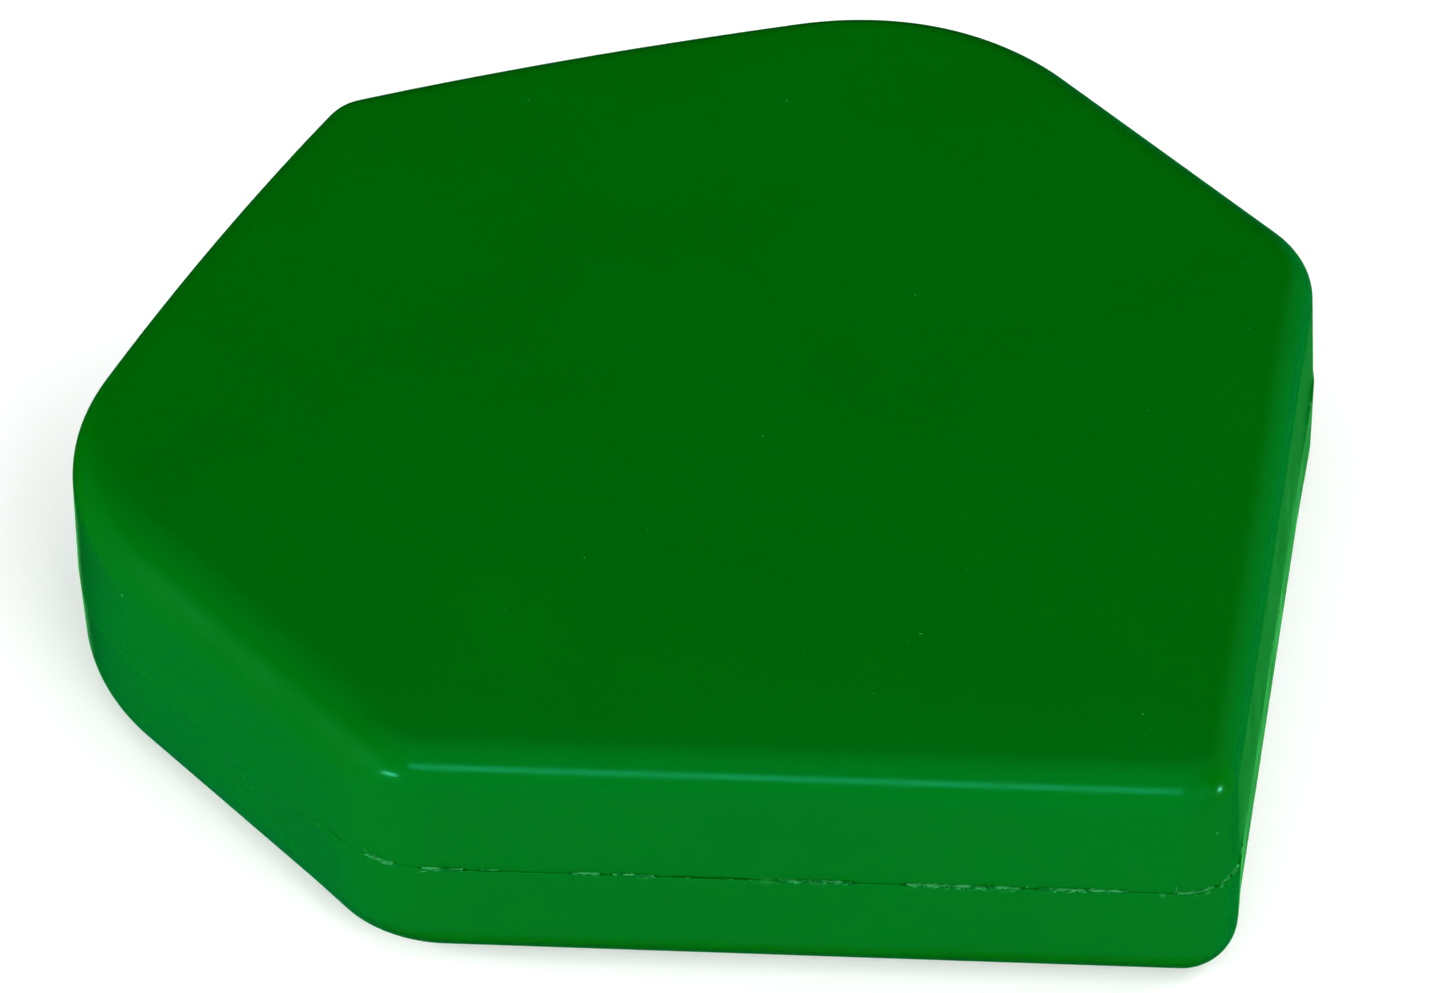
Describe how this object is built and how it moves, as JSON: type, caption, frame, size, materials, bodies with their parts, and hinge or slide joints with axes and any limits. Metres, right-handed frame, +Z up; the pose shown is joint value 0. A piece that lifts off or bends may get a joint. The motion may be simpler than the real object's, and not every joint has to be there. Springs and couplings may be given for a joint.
{
  "type": "marking crayon block",
  "caption": "Flat six-sided block crayon of glossy green wax, moulded in two halves that meet at a ragged parting line round the walls.",
  "frame": {"origin": "centre of the bounding box, on the resting face", "axes": "+Z up through the thickness; +X from the point to the blunt peak, along the mirror plane; +Y across the parallel sides"},
  "size_m": [0.1102, 0.0962, 0.021],
  "materials": {
    "wax": "smooth gloss moulded wax, deep green",
    "flash": "thin squeezed-out wax, paler and ragged"
  },
  "bodies": {
    "root": {"upper_half": "wax", "lower_half": "wax", "seam_flash": "flash"}
  },
  "joints": []
}
